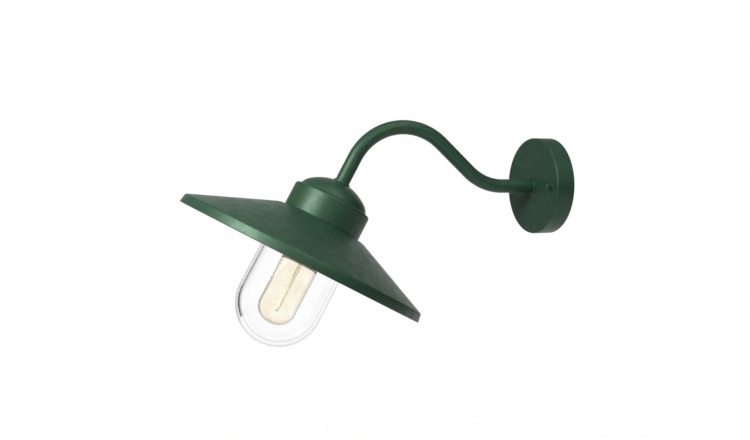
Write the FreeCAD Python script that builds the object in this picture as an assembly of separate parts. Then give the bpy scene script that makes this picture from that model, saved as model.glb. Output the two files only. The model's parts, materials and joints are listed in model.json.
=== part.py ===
import FreeCAD, Part
import math
import os

V = FreeCAD.Vector

# Gooseneck wall light, in millimetres. The wall is the plane y = 0, the light stands out to -Y, +Z is up,
# and the origin is the centre of the canopy's back. Pieces are made along a depth axis and then placed:
# at the wall, depth runs out from the wall; at the lamp, down the lamp's tilted axis from the hood's top.

# Clearances
screw_gap = 0.1        # between a screw, stud or threaded end and its hole
seat_gap = 0.1         # between a piece and the socket that it sits in
thread_gap = 0.5       # between the crests of a coarse thread, left plain, and its mate

# Making
cut_spare = 1.0        # how far a cut runs out past a face
join_overlap = 1.0     # how far two parts of one body run into each other

# Canopy
canopy_radius = 60.0
canopy_depth = 23.0
canopy_wall = 2.5
canopy_edge_round = 1.5
canopy_gasket_width = 2.2
canopy_gasket_thickness = 1.5
canopy_gasket_bite = 1.2   # how far the gasket is let into the canopy's wall

# Bracket on the wall, inside the canopy
bracket_thickness = 2.0
bracket_end_gap = 3.5      # between the bracket's ends and the canopy's wall
bracket_width = 22.0
tab_width = 38.0
tab_drop = 44.0            # below the canopy's centre
supply_hole_radius = 6.0
wall_slot_spacing = 70.0
wall_slot_length = 12.0
wall_slot_width = 5.5

# Studs and cap nuts that hold the canopy
stud_spacing = 96.0
stud_radius = 1.75
stud_head_radius = 3.2
stud_head_thickness = 1.0
stud_grip = 5.5            # length of stud inside the cap nut
cap_nut_length = 9.0
cap_nut_radius = 2.6
cap_nut_foot_radius = 3.2
cap_nut_foot = 1.6
cap_nut_round = 1.3
cap_nut_spare = 1.0        # room past the stud's end

# Arm tube
arm_radius = 8.5
arm_wall = 2.0
arm_wall_run = 42.0        # straight, from the canopy's face
arm_rise_radius = 67.0
arm_rise_angle = 42.5
arm_climb = 50.5
arm_crest_radius = 70.0
arm_crest_angle = 104.0
arm_drop = 33.8            # straight, down to the hood's top

# Collars, washers and nuts on the arm's threaded ends
collar_radius = 10.3
collar_thickness = 2.0
collar_round = 0.7
arm_washer_radius = 12.5
arm_washer_thickness = 1.0
arm_nut_across_flats = 22.0
arm_nut_thickness = 4.0
arm_nut_corner_cut = 0.4   # taken off each of the nut's corners
arm_thread_spare = 1.0     # thread left past the nut

# Cable inside the arm, its grommets, cores and ring lugs
cable_radius = 3.2
core_radius = 1.05
core_circle = 1.35         # from the cable's axis to each core's axis
grommet_length = 6.0
grommet_flange = 1.0
grommet_flange_radius = 8.0
cable_show = 0.6           # sheath past the grommet
lug_radius = 3.8
lug_thickness = 0.8
lug_barrel_radius = 1.7
lug_barrel_start = 4.2
lug_barrel_length = 5.2
lug_neck_width = 2.4
cord_bend_share = 0.45     # of a cord's shorter run, taken up by the bend next to it
core_fan = 9.0             # down from the arm's axis to where a core has turned towards its pole
core_fan_share = 0.6       # of the way across to its pole at that point
core_lead_in = 6.0         # straight run above the terminal block
core_tip_inset = 1.0       # from a clamp's middle back to the core's tip
earth_lead_in = 4.0        # straight run before a ring lug's barrel
core_straight = 7.5        # straight run from the sheath's end, in the hood
core_drop_in = 8.0         # straight run above the lampholder's bracket
core_tip_gap = 0.5         # between a core's tip and the floor of its terminal
hood_earth_approach = 3.5  # from the lamp's axis to where the earth core is level with its lug

# Hood casting
hood_radius = 47.0
hood_height = 50.2
hood_wall = 3.0
dome_radius = 42.5
dome_height = 27.5
dome_haunch_round = 19.5   # tight arc between the dome's side and its crown
collar_seat_margin = 0.2   # flat on the dome past the collar
shoulder_depth = 20.2
shoulder_fall = 1.5
shoulder_round = 3.0
arm_boss_depth = 5.5       # depth of the inner face that the arm's washer bears on
arm_boss_margin = 1.0
hood_gasket_thickness = 0.8
hood_gasket_inset = 0.4

# Shade
shade_radius = 150.0
shade_sheet = 1.5
shade_slope = 23.2
shade_flat_radius = 53.4   # where the flat crown would meet the cone
shade_crown_round = 20.0
shade_corner_round = 3.0
shade_lip_height = 10.8
shade_lip_flare = 1.5
shade_hole_radius = 28.0

# Gallery that holds the jar, and the screws that clamp it and the shade to the hood
gallery_radius = 48.0
gallery_height = 21.0
gallery_plate = 3.0
gallery_round = 1.5
gallery_hole_radius = 26.0
gallery_screw_circle = 33.0
gallery_screw_count = 3
gallery_screw_length = 12.5
gallery_post_radius = 5.0

# Glass jar and its gasket
jar_radius = 50.0
jar_wall = 4.0
jar_body_length = 126.7    # from the shoulder to the round end
jar_shoulder_round = 4.0
jar_neck_radius = 42.2
jar_neck_wall = 4.2
jar_lip_gap = 2.5          # above the neck, under the gallery's plate
jar_gasket_thickness = 2.5
jar_gasket_width = 4.9
jar_gasket_gap = 0.4       # between the gasket and the jar's neck

# Lampholder bracket
holder_bracket_rise = 5.7  # above the hood's mouth
holder_bracket_thickness = 1.5
holder_bracket_width = 16.0
holder_bracket_length = 72.0
holder_bracket_holes = 60.0
holder_post_radius = 4.5
holder_bracket_screw_length = 10.0

# Porcelain lampholder
holder_length = 51.0
holder_radius = 22.0
holder_base_radius = 20.0
holder_base_height = 11.5
holder_recess_width = 14.0
holder_recess_inner = 9.0  # from the axis to the flat floor side of each terminal recess
holder_screw_spacing = 24.0
holder_screw_radius = 1.5
holder_screw_head_radius = 2.8
holder_screw_length = 9.5
holder_round = 2.0
socket_wall = 0.6          # threaded metal sleeve
socket_length = 20.0
socket_mouth = 4.0         # from the porcelain's mouth to the sleeve
contact_cavity_radius = 11.0
contact_cavity_depth = 12.0
tongue_width = 7.0
tongue_thickness = 0.6
tongue_gap = 0.1           # between the tongue and the bulb's contact
tongue_foot = 6.0          # bends of the tongue, from the lamp's axis away from the live terminal
tongue_back = 8.0
tongue_toe = 1.0
tongue_tip = 5.0           # past the lamp's axis, towards the live terminal
holder_screw_spare = 1.0   # room past the screw's tip
holder_terminal_width = 8.0
holder_terminal_inner = 10.0
holder_terminal_outer = 17.0
holder_terminal_height = 8.5
holder_wire_circle = 13.0
holder_terminal_web = 3.0  # metal left below the wire
holder_clamp_rise = 1.0    # of the clamp screw above the terminal's middle
wire_hole_radius = 1.25

# Small screws
small_screw_radius = 2.0
small_screw_head_radius = 3.5
small_screw_head_height = 2.2
clamp_screw_radius = 1.2
clamp_screw_head_radius = 2.0
clamp_screw_head_height = 1.4

# Earth post in the hood
earth_post_x = -16.0
earth_post_y = 20.0
earth_post_depth = 26.0
earth_post_radius = 4.0
earth_screw_length = 8.0

# Bulb
bulb_radius = 22.5
bulb_length = 107.0
bulb_glass = 0.9
bulb_neck_radius = 12.3
bulb_shoulder_round = 8.0
bulb_end_round = 20.0
cap_length = 27.0
cap_radius = 13.1
cap_skirt_radius = 13.6
cap_skirt_length = 4.0
cap_sheet = 0.5
cap_show = 1.7             # cap past the porcelain's mouth
cap_crown = 1.0            # of the shell's bevel at its closed end
cap_insulator_height = 3.5
cap_insulator_radius = 11.0
cap_insulator_lip = 1.5    # inside the shell
cap_insulator_land = 1.0   # flat round the contact
bulb_contact_radius = 4.8
bulb_contact_thickness = 1.5
stem_radius = 3.6
stem_flare_radius = 10.9
stem_flare_lip = 1.5
stem_flare_dish = 3.0
stem_flare_depth = 6.0
stem_flare_round = 4.0
stem_tip_round = 1.0
stem_depth_in_cap = 12.5   # from the cap's open end up to the stem's flare
stem_length = 15.5
filament_radius = 0.75
filament_spacing = 2.8
filament_top_gap = 2.5     # from the stem to the filament
filament_length = 58.0
lead_radius = 0.3
support_offset = 2.6
support_bend = 1.0

# Terminal block in the canopy
block_length = 34.0
block_width = 16.0
block_height = 11.0
block_top = 24.0           # from the canopy's centre down to the block
block_round = 1.0
pole_pitch = 10.5
insert_width = 5.0
insert_length = 14.0
insert_bore = 1.4
clamp_screw_spacing = 8.0
block_screw_radius = 1.5
block_screw_head_radius = 2.6
block_screw_head_height = 1.8
block_screw_offset = 5.25
canopy_earth_x = 20.0

# Places along the depth axes, worked out from the sizes above
canopy_inside = canopy_radius - canopy_wall
canopy_face_inside = canopy_depth - canopy_wall
arm_end_in_canopy = canopy_face_inside - arm_washer_thickness - arm_nut_thickness - arm_thread_spare
arm_end_in_hood = arm_boss_depth + arm_washer_thickness + arm_nut_thickness + arm_thread_spare
cable_end_in_canopy = arm_end_in_canopy - grommet_flange - cable_show
cable_end_in_hood = arm_end_in_hood + grommet_flange + cable_show
lamp_tilt = 90 - (arm_crest_angle - arm_rise_angle)
dome_flat_radius = collar_radius + collar_seat_margin
dome_crown_round = ((dome_radius ** 2 + dome_height ** 2 - 2 * dome_radius * dome_haunch_round)
                    / (2 * (dome_height - dome_haunch_round)))
crown_centre = math.sqrt(dome_crown_round ** 2 - dome_flat_radius ** 2)
dome_centre = crown_centre + dome_height - dome_crown_round
shade_top = hood_height + hood_gasket_thickness
shade_under = shade_top + shade_sheet
gallery_inside = shade_under + gallery_plate
gallery_mouth = shade_under + gallery_height
jar_shoulder = gallery_mouth + jar_gasket_thickness
jar_lip = gallery_inside + jar_lip_gap
jar_end = jar_shoulder + jar_body_length
gallery_bore = jar_neck_radius + thread_gap
holder_bracket_depth = hood_height - holder_bracket_rise
holder_top = holder_bracket_depth + holder_bracket_thickness
holder_floor = holder_top + holder_base_height
holder_mouth = holder_top + holder_length
socket_end = holder_mouth - socket_mouth
socket_start = socket_end - socket_length
socket_inside = cap_radius + thread_gap
bulb_top = holder_mouth + cap_show - cap_length
bulb_end = bulb_top + bulb_length
cap_end = bulb_top + cap_length
stem_top = cap_end - stem_depth_in_cap
stem_end = stem_top + stem_length
filament_top = stem_end + filament_top_gap
wire_depth = bracket_thickness + block_height / 2
block_centre = block_top + block_width / 2


# Edges through a list of points, with an arc of the given radius at each inner corner
def rounded_edges(points, radii):
    edges = []
    last = points[0]
    for before, corner, after, radius in zip(points, points[1:], points[2:], radii):
        inward = (corner - before).normalize()
        outward = (after - corner).normalize()
        half_turn = inward.getAngle(outward) / 2
        if radius <= 0 or half_turn < 1e-6:
            edges.append(Part.LineSegment(last, corner).toShape())
            last = corner
            continue
        reach = radius * math.tan(half_turn)
        start = corner - inward * reach
        end = corner + outward * reach
        side = (outward - inward).normalize()
        middle = corner + side * (radius / math.cos(half_turn) - radius)
        if (start - last).Length > 1e-6:
            edges.append(Part.LineSegment(last, start).toShape())
        edges.append(Part.Arc(start, middle, end).toShape())
        last = end
    if (points[-1] - last).Length > 1e-6:
        edges.append(Part.LineSegment(last, points[-1]).toShape())
    return edges


# A turned solid about the depth axis, from corners given as (radius, depth, rounding)
def turned(corners):
    corners = [corner if len(corner) == 3 else corner + (0,) for corner in corners]
    start = V((corners[0][0] + corners[-1][0]) / 2, 0, -(corners[0][1] + corners[-1][1]) / 2)
    points = [start] + [V(radius, 0, -depth) for radius, depth, bend in corners] + [start]
    edges = rounded_edges(points, [bend for radius, depth, bend in corners])
    return Part.Face(Part.Wire(edges)).revolve(V(0, 0, 0), V(0, 0, 1), 360)


# The far side of a sheet whose near side runs through the corners, with matching bends
def sheet_far_side(corners, thickness):
    normals = []
    for (radius, depth, bend), (next_radius, next_depth, next_bend) in zip(corners, corners[1:]):
        length = math.hypot(next_radius - radius, next_depth - depth)
        normals.append(((depth - next_depth) / length, (next_radius - radius) / length))
    far = []
    for i, (radius, depth, bend) in enumerate(corners):
        before = normals[max(i - 1, 0)]
        after = normals[min(i, len(normals) - 1)]
        share = thickness / (1 + before[0] * after[0] + before[1] * after[1])
        turn = before[0] * after[1] - before[1] * after[0]
        far_bend = bend - math.copysign(thickness, turn) if bend else 0
        far.append((radius + share * (before[0] + after[0]), depth + share * (before[1] + after[1]), far_bend))
    return far


# A turned sheet of even thickness, to the depth side of the corners when they run outwards
def turned_sheet(corners, thickness):
    return turned(corners + sheet_far_side(corners, thickness)[::-1])


def rod(radius, top, bottom, x=0, y=0):
    return Part.makeCylinder(radius, bottom - top, V(x, y, -bottom))


def tube(outer, inner, top, bottom, x=0, y=0):
    return rod(outer, top, bottom, x, y).cut(rod(inner, top, bottom, x, y))


def slab(width_x, width_y, top, bottom, x=0, y=0):
    return Part.makeBox(width_x, width_y, bottom - top, V(x - width_x / 2, y - width_y / 2, -bottom))


# A screw with a cross recess: its head bears on the seat depth and its shank runs to the tip depth
def screw(x, y, seat, tip, radius, head_radius, head_height):
    outward = math.copysign(1, seat - tip)
    head_end = seat + outward * head_height
    shank = rod(radius, min(seat, tip), max(seat, tip), x, y)
    head = rod(head_radius, min(seat, head_end), max(seat, head_end), x, y)
    edge = [e for e in head.Edges if abs(e.CenterOfMass.z + head_end) < 1e-6]
    head = head.makeFillet(head_height / 4, edge)
    recess_floor = head_end - outward * head_height / 2
    top, bottom = min(recess_floor, head_end), max(recess_floor, head_end)
    recess = slab(head_radius * 1.2, head_radius / 4, top, bottom, x, y)
    recess = recess.fuse(slab(head_radius / 4, head_radius * 1.2, top, bottom, x, y))
    return shank.fuse(head).cut(recess).removeSplitter()


def small_screw(x, y, seat, tip):
    return screw(x, y, seat, tip, small_screw_radius, small_screw_head_radius, small_screw_head_height)


# A short screw across the depth axis, pressing on a wire from its +Y side (1) or its -Y side (-1)
def side_screw(side, depth, inner, outer):
    across = screw(0, 0, 0, outer - inner, clamp_screw_radius, clamp_screw_head_radius, clamp_screw_head_height)
    across.rotate(V(0, 0, 0), V(1, 0, 0), -90 * side)
    across.translate(V(0, side * outer, -depth))
    return across


# A round cord through points given as (x, y, depth), bent as widely as its runs allow
def cord(name, route, radius):
    points = [V(x, y, -depth) for x, y, depth in route]
    radii = []
    for before, corner, after in zip(points, points[1:], points[2:]):
        half_turn = (corner - before).getAngle(after - corner) / 2
        shorter_run = min((corner - before).Length, (after - corner).Length)
        radii.append(cord_bend_share * shorter_run / math.tan(half_turn))
    print(name, "bend radii", [round(value, 1) for value in radii])
    return swept(rounded_edges(points, radii), radius)


def swept(edges, radius):
    start = edges[0].valueAt(edges[0].FirstParameter)
    along = edges[0].tangentAt(edges[0].FirstParameter)
    section = Part.Wire([Part.Circle(start, along, radius).toShape()])
    return Part.Wire(edges).makePipeShell([section], True, False)


# A crimped ring lug lying on the seat depth, its barrel pointing at the heading, in degrees from +X
def ring_lug(x, y, seat, heading):
    barrel_end = lug_barrel_start + lug_barrel_length
    ring = rod(lug_radius, seat, seat + lug_thickness)
    neck_length = lug_barrel_start + join_overlap
    neck = slab(neck_length, lug_neck_width, seat, seat + lug_thickness, neck_length / 2)
    barrel_axis = -(seat + lug_barrel_radius)
    barrel_base = V(lug_barrel_start, 0, barrel_axis)
    barrel = Part.makeCylinder(lug_barrel_radius, lug_barrel_length, barrel_base, V(1, 0, 0))
    bore = Part.makeCylinder(core_radius + seat_gap, barrel_end, barrel_base, V(1, 0, 0))
    hole = rod(small_screw_radius + screw_gap, seat, seat + lug_thickness)
    lug = ring.fuse([neck, barrel]).cut([bore, hole]).removeSplitter()
    lug.rotate(V(0, 0, 0), V(0, 0, 1), heading)
    lug.translate(V(x, y, 0))
    return lug


def arm_nut(top):
    corner_radius = arm_nut_across_flats / math.sqrt(3)
    corners = [V(corner_radius * math.cos(math.radians(60 * i)), corner_radius * math.sin(math.radians(60 * i)),
                 -top - arm_nut_thickness) for i in range(7)]
    block = Part.Face(Part.makePolygon(corners)).extrude(V(0, 0, arm_nut_thickness))
    chamfer = rod(corner_radius - arm_nut_corner_cut, top, top + arm_nut_thickness)
    return block.common(chamfer).cut(rod(arm_radius + screw_gap, top, top + arm_nut_thickness))


def arm_washer(top):
    return tube(arm_washer_radius, arm_radius + screw_gap, top, top + arm_washer_thickness)


# Centre line of the arm, from one depth at the wall to another at the lamp
def arm_route(wall_depth, lamp_depth):
    heading = 0
    here = V(0, -wall_depth, 0)
    edges = []
    stretches = [(canopy_depth - wall_depth + arm_wall_run, 0), (arm_rise_radius, arm_rise_angle),
                 (arm_climb, 0), (arm_crest_radius, -arm_crest_angle), (arm_drop + lamp_depth, 0)]
    for size, turn in stretches:
        if turn == 0:
            there = here + V(0, -math.cos(heading), math.sin(heading)) * size
            edges.append(Part.LineSegment(here, there).toShape())
        else:
            side = math.copysign(1, turn)
            centre = here + V(0, math.sin(heading), math.cos(heading)) * size * side
            stops = []
            for share in (0.5, 1):
                angle = heading + math.radians(turn) * share
                stops.append(centre - V(0, math.sin(angle), math.cos(angle)) * size * side)
            edges.append(Part.Arc(here, stops[0], stops[1]).toShape())
            heading += math.radians(turn)
            there = stops[1]
        here = there
    return edges, here


lamp_point = arm_route(0, 0)[1]


def at_wall(shape):
    shape.rotate(V(0, 0, 0), V(1, 0, 0), -90)
    return shape


def at_lamp(shape):
    shape.rotate(V(0, 0, 0), V(1, 0, 0), -lamp_tilt)
    shape.translate(lamp_point)
    return shape


def canopy():
    rebate_radius = canopy_inside + canopy_gasket_bite
    cup = turned([
        (rebate_radius, 0), (canopy_radius, 0), (canopy_radius, canopy_depth, canopy_edge_round),
        (0, canopy_depth), (0, canopy_face_inside), (canopy_inside, canopy_face_inside, canopy_edge_round),
        (canopy_inside, canopy_gasket_thickness), (rebate_radius, canopy_gasket_thickness)])
    holes = [rod(arm_radius + screw_gap, canopy_face_inside, canopy_depth)]
    for x in stud_places():
        holes.append(rod(stud_radius + screw_gap, canopy_face_inside, canopy_depth, x))
    return cup.cut(holes)


def canopy_gasket():
    outer = canopy_inside + canopy_gasket_bite
    return tube(outer, outer - canopy_gasket_width, 0, canopy_gasket_thickness)


def stud_places():
    return [-stud_spacing / 2, stud_spacing / 2]


def wall_bracket():
    reach = canopy_inside - bracket_end_gap
    strap = slab(2 * reach, bracket_width, 0, bracket_thickness)
    tab = slab(tab_width, tab_drop, 0, bracket_thickness, 0, tab_drop / 2)
    plate = strap.fuse(tab).common(rod(reach, 0, bracket_thickness))
    cuts = [rod(supply_hole_radius, 0, bracket_thickness)]
    for side in (-1, 1):
        x = side * wall_slot_spacing / 2
        run = wall_slot_length - wall_slot_width
        cuts.append(slab(run, wall_slot_width, 0, bracket_thickness, x))
        cuts.append(rod(wall_slot_width / 2, 0, bracket_thickness, x - run / 2))
        cuts.append(rod(wall_slot_width / 2, 0, bracket_thickness, x + run / 2))
        cuts.append(rod(stud_radius + screw_gap, 0, bracket_thickness, side * stud_spacing / 2))
        cuts.append(rod(stud_head_radius + screw_gap, 0, stud_head_thickness, side * stud_spacing / 2))
        cuts.append(rod(block_screw_radius + screw_gap, 0, bracket_thickness,
                        side * block_screw_offset, block_centre))
    cuts.append(rod(small_screw_radius + screw_gap, 0, bracket_thickness, canopy_earth_x))
    return plate.cut(cuts).removeSplitter()


def bracket_studs():
    studs = []
    for x in stud_places():
        head = rod(stud_head_radius, 0, stud_head_thickness, x)
        shank = rod(stud_radius, 0, canopy_depth + stud_grip, x)
        studs.append(head.fuse(shank).removeSplitter())
    return Part.Compound(studs)


def canopy_cap_nuts():
    foot_end = canopy_depth + cap_nut_foot
    tip = canopy_depth + cap_nut_length
    hole = stud_radius + screw_gap
    hole_end = canopy_depth + stud_grip + cap_nut_spare
    nuts = []
    for x in stud_places():
        nut = turned([
            (hole, canopy_depth), (cap_nut_foot_radius, canopy_depth),
            (cap_nut_foot_radius, canopy_depth + cap_nut_foot / 2, cap_nut_foot / 4),
            (cap_nut_radius, foot_end, cap_nut_foot / 4), (cap_nut_radius, tip, cap_nut_round),
            (0, tip), (0, hole_end), (hole, hole_end)])
        nut.translate(V(x, 0, 0))
        nuts.append(nut)
    return Part.Compound(nuts)


# A collar on the arm where it enters a face, rounded on the side away from the face
def arm_collar(face, outward):
    hole = arm_radius + screw_gap
    rim = face + outward * collar_thickness
    return turned([(hole, face), (collar_radius, face), (collar_radius, rim, collar_round), (hole, rim)])


# A grommet in the arm's end, with its flange on the end face
def arm_grommet(end, outward):
    hole = cable_radius + seat_gap
    bore = arm_radius - arm_wall
    flange = end + outward * grommet_flange
    inner = end - outward * grommet_length
    return turned([
        (hole, inner), (bore, inner), (bore, end), (grommet_flange_radius, end),
        (grommet_flange_radius, flange, grommet_flange / 3), (hole, flange)])


def arm_tube():
    outer = swept(arm_route(arm_end_in_canopy, arm_end_in_hood)[0], arm_radius)
    inner = swept(arm_route(arm_end_in_canopy, arm_end_in_hood)[0], arm_radius - arm_wall)
    return outer.cut(inner)


def arm_cable():
    return swept(arm_route(cable_end_in_canopy, cable_end_in_hood)[0], cable_radius)


def core_place(angle):
    return core_circle * math.cos(math.radians(angle)), core_circle * math.sin(math.radians(angle))


# Cores at the canopy's end: two run down to the terminal block and the earth runs to a lug on the bracket
def canopy_core(name, angle, pole_x):
    x, y = core_place(angle)
    return cord(name, [
        (x, y, cable_end_in_canopy), (x, y, wire_depth),
        (x + core_fan_share * (pole_x - x), y + core_fan, wire_depth),
        (pole_x, block_top - core_lead_in, wire_depth),
        (pole_x, block_top + insert_length / 2 - core_tip_inset, wire_depth)], core_radius)


def canopy_earth_core():
    x, y = core_place(-90)
    barrel_depth = bracket_thickness + lug_barrel_radius
    mouth = canopy_earth_x - lug_barrel_start - lug_barrel_length
    return cord("earth core at the canopy", [
        (x, y, cable_end_in_canopy), (x, y, wire_depth), (mouth - earth_lead_in, y / 2, barrel_depth),
        (mouth, 0, barrel_depth), (mouth + lug_barrel_length, 0, barrel_depth)], core_radius)


def canopy_earth_lead():
    barrel_depth = bracket_thickness + lug_thickness + lug_barrel_radius
    mouth = lug_barrel_start + lug_barrel_length
    return cord("earth lead in the canopy", [
        (canopy_earth_x, mouth - lug_barrel_length, barrel_depth),
        (canopy_earth_x, mouth + earth_lead_in, barrel_depth), (pole_pitch, block_top - core_lead_in, wire_depth),
        (pole_pitch, block_top + insert_length / 2 - core_tip_inset, wire_depth)],
        core_radius)


# Cores at the hood's end, to the two terminals of the lampholder and to the earth lug
def hood_core(name, angle, side):
    x, y = core_place(angle)
    wire_y = side * holder_wire_circle
    return cord(name, [
        (x, y, cable_end_in_hood), (x, y, cable_end_in_hood + core_straight),
        (0, wire_y, holder_bracket_depth - core_drop_in),
        (0, wire_y, holder_floor - holder_terminal_web - core_tip_gap)], core_radius)


def hood_earth_core():
    x, y = core_place(210)
    barrel_depth = earth_post_depth + lug_barrel_radius
    reach = math.hypot(earth_post_x, earth_post_y)
    along_x, along_y = earth_post_x / reach, earth_post_y / reach
    stop = reach - lug_barrel_start - core_tip_inset
    return cord("earth core at the hood", [
        (x, y, cable_end_in_hood), (x, y, cable_end_in_hood + core_straight),
        (hood_earth_approach * along_x, hood_earth_approach * along_y, barrel_depth),
        (stop * along_x, stop * along_y, barrel_depth)],
        core_radius)


def live_cores():
    return Part.Compound([
        at_wall(canopy_core("live core at the canopy", 150, -pole_pitch)),
        at_lamp(hood_core("live core at the hood", 90, 1))])


def neutral_cores():
    return Part.Compound([
        at_wall(canopy_core("neutral core at the canopy", 30, 0)),
        at_lamp(hood_core("neutral core at the hood", -30, -1))])


def earth_cores():
    return Part.Compound([at_wall(canopy_earth_core()), at_lamp(hood_earth_core())])


def earth_ring_lugs():
    heading = math.degrees(math.atan2(-earth_post_y, -earth_post_x))
    return Part.Compound([
        at_wall(ring_lug(canopy_earth_x, 0, bracket_thickness, 180)),
        at_wall(ring_lug(canopy_earth_x, 0, bracket_thickness + lug_thickness, 90)),
        at_lamp(ring_lug(earth_post_x, earth_post_y, earth_post_depth, heading))])


def canopy_earth_screw():
    return small_screw(canopy_earth_x, 0, bracket_thickness + 2 * lug_thickness, bracket_thickness / 4)


def pole_places():
    return [-pole_pitch, 0, pole_pitch]


def clamp_places():
    return [block_centre - clamp_screw_spacing / 2, block_centre + clamp_screw_spacing / 2]


def terminal_block():
    face = bracket_thickness + block_height
    body = slab(block_length, block_width, bracket_thickness, face, 0, block_centre)
    upright = [e for e in body.Edges if abs(e.tangentAt(e.FirstParameter).z) > 0.9]
    body = body.makeFillet(block_round, upright)
    cuts = []
    for x in pole_places():
        cuts.append(slab(insert_width, block_width, wire_depth - insert_width / 2, wire_depth + insert_width / 2,
                         x, block_centre))
        for y in clamp_places():
            cuts.append(rod(clamp_screw_head_radius + screw_gap, wire_depth, face, x, y))
    for side in (-1, 1):
        x = side * block_screw_offset
        head_seat = face - 2 * block_screw_head_height
        cuts.append(rod(block_screw_radius + screw_gap, bracket_thickness, face, x, block_centre))
        cuts.append(rod(block_screw_head_radius + screw_gap, head_seat, face, x, block_centre))
    return body.cut(cuts)


def terminal_inserts():
    inserts = []
    for x in pole_places():
        block = slab(insert_width, insert_length, wire_depth - insert_width / 2, wire_depth + insert_width / 2,
                     x, block_centre)
        bore = Part.makeCylinder(insert_bore, insert_length, V(x, block_centre - insert_length / 2, -wire_depth),
                                 V(0, 1, 0))
        holes = [rod(clamp_screw_radius + screw_gap, wire_depth, wire_depth + insert_width / 2, x, y)
                 for y in clamp_places()]
        inserts.append(block.cut([bore] + holes))
    return Part.Compound(inserts)


def terminal_clamp_screws():
    seat = wire_depth + insert_width / 2
    return Part.Compound([
        screw(x, y, seat, wire_depth + core_radius + seat_gap, clamp_screw_radius, clamp_screw_head_radius,
              clamp_screw_head_height) for x in pole_places() for y in clamp_places()])


def terminal_block_screws():
    seat = bracket_thickness + block_height - 2 * block_screw_head_height
    return Part.Compound([
        screw(side * block_screw_offset, block_centre, seat, bracket_thickness / 4, block_screw_radius,
              block_screw_head_radius, block_screw_head_height) for side in (-1, 1)])


# Outline of the dome on one side of its wall, up from a height over its widest part to a radius near the axis:
# a tight haunch arc, then a crown arc about a point on the axis
def dome_edges(wall, height, near_radius):
    lean = math.atan2(dome_crown_round - dome_height, dome_radius - dome_haunch_round)
    haunch = dome_haunch_round - wall
    crown = dome_crown_round - wall
    arcs = [(haunch, dome_radius - dome_haunch_round, dome_centre, math.asin(height / haunch), lean),
            (crown, 0, crown_centre, lean, math.acos(near_radius / crown))]
    edges = []
    for radius, offset, centre_depth, first, last in arcs:
        stops = [V(offset + radius * math.cos(angle), 0, radius * math.sin(angle) - centre_depth)
                 for angle in (first, (first + last) / 2, last)]
        edges.append(Part.Arc(stops[0], stops[1], stops[2]).toShape())
    return edges


# Depth of the dome's crown at a radius, and radius of its haunch at a depth
def crown_depth(radius, wall):
    return crown_centre - math.sqrt((dome_crown_round - wall) ** 2 - radius ** 2)


def haunch_radius(depth, wall):
    haunch = dome_haunch_round - wall
    return dome_radius - dome_haunch_round + math.sqrt(haunch ** 2 - (dome_centre - depth) ** 2)


def turned_edges(edges):
    outline = Part.Wire(Part.sortEdges(edges)[0])
    return Part.Face(outline).revolve(V(0, 0, 0), V(0, 0, 1), 360)


def gallery_screw_places():
    places = []
    for i in range(gallery_screw_count):
        angle = math.radians(90 + 360 * i / gallery_screw_count)
        places.append((gallery_screw_circle * math.cos(angle), gallery_screw_circle * math.sin(angle)))
    return places


def holder_screw_places():
    return [-holder_bracket_holes / 2, holder_bracket_holes / 2]


def hood():
    side = haunch_radius(shoulder_depth, 0)
    step = shoulder_depth + shoulder_fall
    inner_radius = hood_radius - hood_wall
    inner_step = step + hood_wall
    inner_side = haunch_radius(inner_step, hood_wall)
    boss_radius = arm_washer_radius + arm_boss_margin
    arm_hole = arm_radius + screw_gap
    outer = dome_edges(0, dome_centre - shoulder_depth, dome_flat_radius)
    inner = dome_edges(hood_wall, dome_centre - inner_step, boss_radius)
    skirt = [V(side, 0, -shoulder_depth), V(hood_radius, 0, -step), V(hood_radius, 0, -hood_height),
             V(inner_radius, 0, -hood_height), V(inner_radius, 0, -inner_step), V(inner_side, 0, -inner_step)]
    boss = [V(boss_radius, 0, -crown_depth(boss_radius, hood_wall)), V(boss_radius, 0, -arm_boss_depth),
            V(arm_hole, 0, -arm_boss_depth), V(arm_hole, 0, 0), V(dome_flat_radius, 0, 0)]
    skirt_edges = rounded_edges(skirt, [shoulder_round, 0, 0, 0])
    casting = turned_edges(outer + inner + skirt_edges + rounded_edges(boss, [0, 0, 0]))
    mid_wall = hood_wall / 2
    mid_radius = dome_radius - mid_wall
    room = [V(mid_radius, 0, -dome_centre), V(mid_radius, 0, -shade_top), V(0, 0, -shade_top),
            V(0, 0, -crown_depth(0, mid_wall))]
    trim = turned_edges(dome_edges(mid_wall, 0, 0) + rounded_edges(room, [0, 0]))
    posts = [rod(holder_post_radius, 0, holder_bracket_depth, x) for x in holder_screw_places()]
    posts.append(rod(earth_post_radius, 0, earth_post_depth, earth_post_x, earth_post_y))
    posts += [rod(gallery_post_radius, 0, shade_top, x, y) for x, y in gallery_screw_places()]
    holes = []
    hole_radius = small_screw_radius + screw_gap
    for x in holder_screw_places():
        tip = holder_top - holder_bracket_screw_length
        holes.append(rod(hole_radius, tip - screw_gap, holder_bracket_depth, x))
    earth_tip = earth_post_depth + lug_thickness - earth_screw_length
    holes.append(rod(hole_radius, earth_tip - screw_gap, earth_post_depth, earth_post_x, earth_post_y))
    for x, y in gallery_screw_places():
        holes.append(rod(hole_radius, gallery_inside - gallery_screw_length - screw_gap, shade_top, x, y))
    for post in posts:
        casting = casting.fuse(post.common(trim))
    for hole in holes:
        casting = casting.cut(hole)
    return casting


def hood_gasket():
    return tube(hood_radius - hood_gasket_inset, hood_radius - hood_wall, hood_height, shade_top)


def hood_earth_screw():
    seat = earth_post_depth + lug_thickness
    return small_screw(earth_post_x, earth_post_y, seat, seat - earth_screw_length)


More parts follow.
